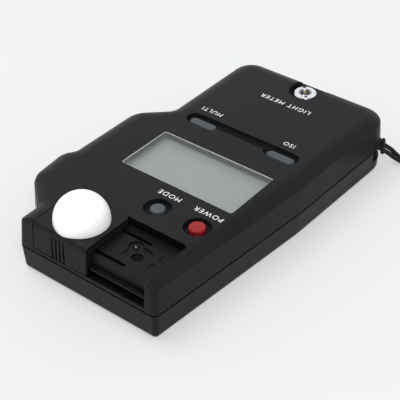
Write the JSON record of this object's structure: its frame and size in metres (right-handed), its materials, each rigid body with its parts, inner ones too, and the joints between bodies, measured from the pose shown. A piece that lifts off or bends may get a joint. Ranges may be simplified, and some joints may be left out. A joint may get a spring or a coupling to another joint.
{
  "type": "handheld light meter",
  "caption": "Handheld light meter with a sliding diffuser dome, display, sync terminal, wrist strap and working keys.",
  "frame": {"origin": "centre of the underside of the body's bounding box, strap left out", "axes": "+X to the user's right, +Y towards the head with the dome, +Z out of the face with the display"},
  "size_m": [0.0948, 0.1237, 0.028],
  "materials": {
    "case": "fine matte",
    "clear": "clear",
    "display_glass": "satin",
    "frame_plastic": "matte",
    "soft_rubber": "matte",
    "board": "satin",
    "chip": "matte",
    "can": "satin",
    "key_grey": "satin",
    "key_red": "satin",
    "key_dark": "fine matte",
    "deck": "satin",
    "diffuser": "translucent satin",
    "steel": "satin",
    "plated": "bright",
    "brass": "satin",
    "lead_red": "satin",
    "lead_black": "satin",
    "cell": "gloss",
    "cord": "braided"
  },
  "bodies": {
    "body": {"amplifier": "chip", "back_cover": "case", "battery_cell": "cell", "battery_lead_minus": "lead_black", "battery_lead_plus": "lead_red", "battery_plate": "steel", "battery_spring": "steel", "board_screws": "steel", "case_screws": "steel", "deck_screws": "steel", "detent_ball": "steel", "detent_spring": "steel", "down_switch": "chip", "front_cover": "case", "iso_switch": "chip", "lcd_holder": "frame_plastic", "lcd_panel": "display_glass", "lcd_window": "clear", "main_board": "board", "measuring_switch": "chip", "mode_switch": "chip", "multi_switch": "chip", "photodiode": "chip", "power_capacitor": "can", "power_switch": "chip", "processor": "chip", "sensor_board": "board", "sensor_deck": "deck", "sensor_window": "clear", "side_board": "board", "strap_coil": "cord", "strap_hitch": "cord", "strap_knot": "cord", "strap_post": "steel", "strap_strand_a": "cord", "strap_strand_b": "cord", "sync_contact": "brass", "sync_insulator": "frame_plastic", "sync_lead_centre": "lead_red", "sync_lead_shell": "lead_black", "sync_nut": "brass", "sync_terminal": "plated", "up_switch": "chip", "zebra_strip_head": "soft_rubber", "zebra_strip_tail": "soft_rubber"},
    "dome_slide": {"dome_carriage": "case", "diffuser_dome": "diffuser", "dome_retainer": "steel"},
    "mode_key": {"mode_button": "key_grey"},
    "power_key": {"power_button": "key_red"},
    "multi_key": {"multi_button": "key_grey"},
    "iso_key": {"iso_button": "key_grey"},
    "up_key": {"set_button_up": "key_dark"},
    "down_key": {"set_button_down": "key_dark"},
    "measuring_key": {"measuring_button": "key_dark"},
    "door": {"battery_door": "case"}
  },
  "joints": [
    {"name": "dome_travel", "type": "slide", "parent": "body", "child": "dome_slide", "axis": [-1, 0, 0], "range_m": [0, 0.0202]},
    {"name": "mode_press", "type": "slide", "parent": "body", "child": "mode_key", "axis": [0, 0, -1], "range_m": [0, 0.0006], "stiffness_N_per_m": 350},
    {"name": "power_press", "type": "slide", "parent": "body", "child": "power_key", "axis": [0, 0, -1], "range_m": [0, 0.0006], "stiffness_N_per_m": 350},
    {"name": "multi_press", "type": "slide", "parent": "body", "child": "multi_key", "axis": [0, 0, -1], "range_m": [0, 0.0006], "stiffness_N_per_m": 350},
    {"name": "iso_press", "type": "slide", "parent": "body", "child": "iso_key", "axis": [0, 0, -1], "range_m": [0, 0.0006], "stiffness_N_per_m": 350},
    {"name": "up_press", "type": "slide", "parent": "body", "child": "up_key", "axis": [-1, 0, 0], "range_m": [0, 0.0006], "stiffness_N_per_m": 350},
    {"name": "down_press", "type": "slide", "parent": "body", "child": "down_key", "axis": [-1, 0, 0], "range_m": [0, 0.0006], "stiffness_N_per_m": 350},
    {"name": "measuring_press", "type": "slide", "parent": "body", "child": "measuring_key", "axis": [-0.6389, -0.7693, 0], "range_m": [0, 0.001], "stiffness_N_per_m": 350},
    {"name": "door_slide", "type": "slide", "parent": "body", "child": "door", "axis": [0, -1, 0], "range_m": [0, 0.004]}
  ]
}
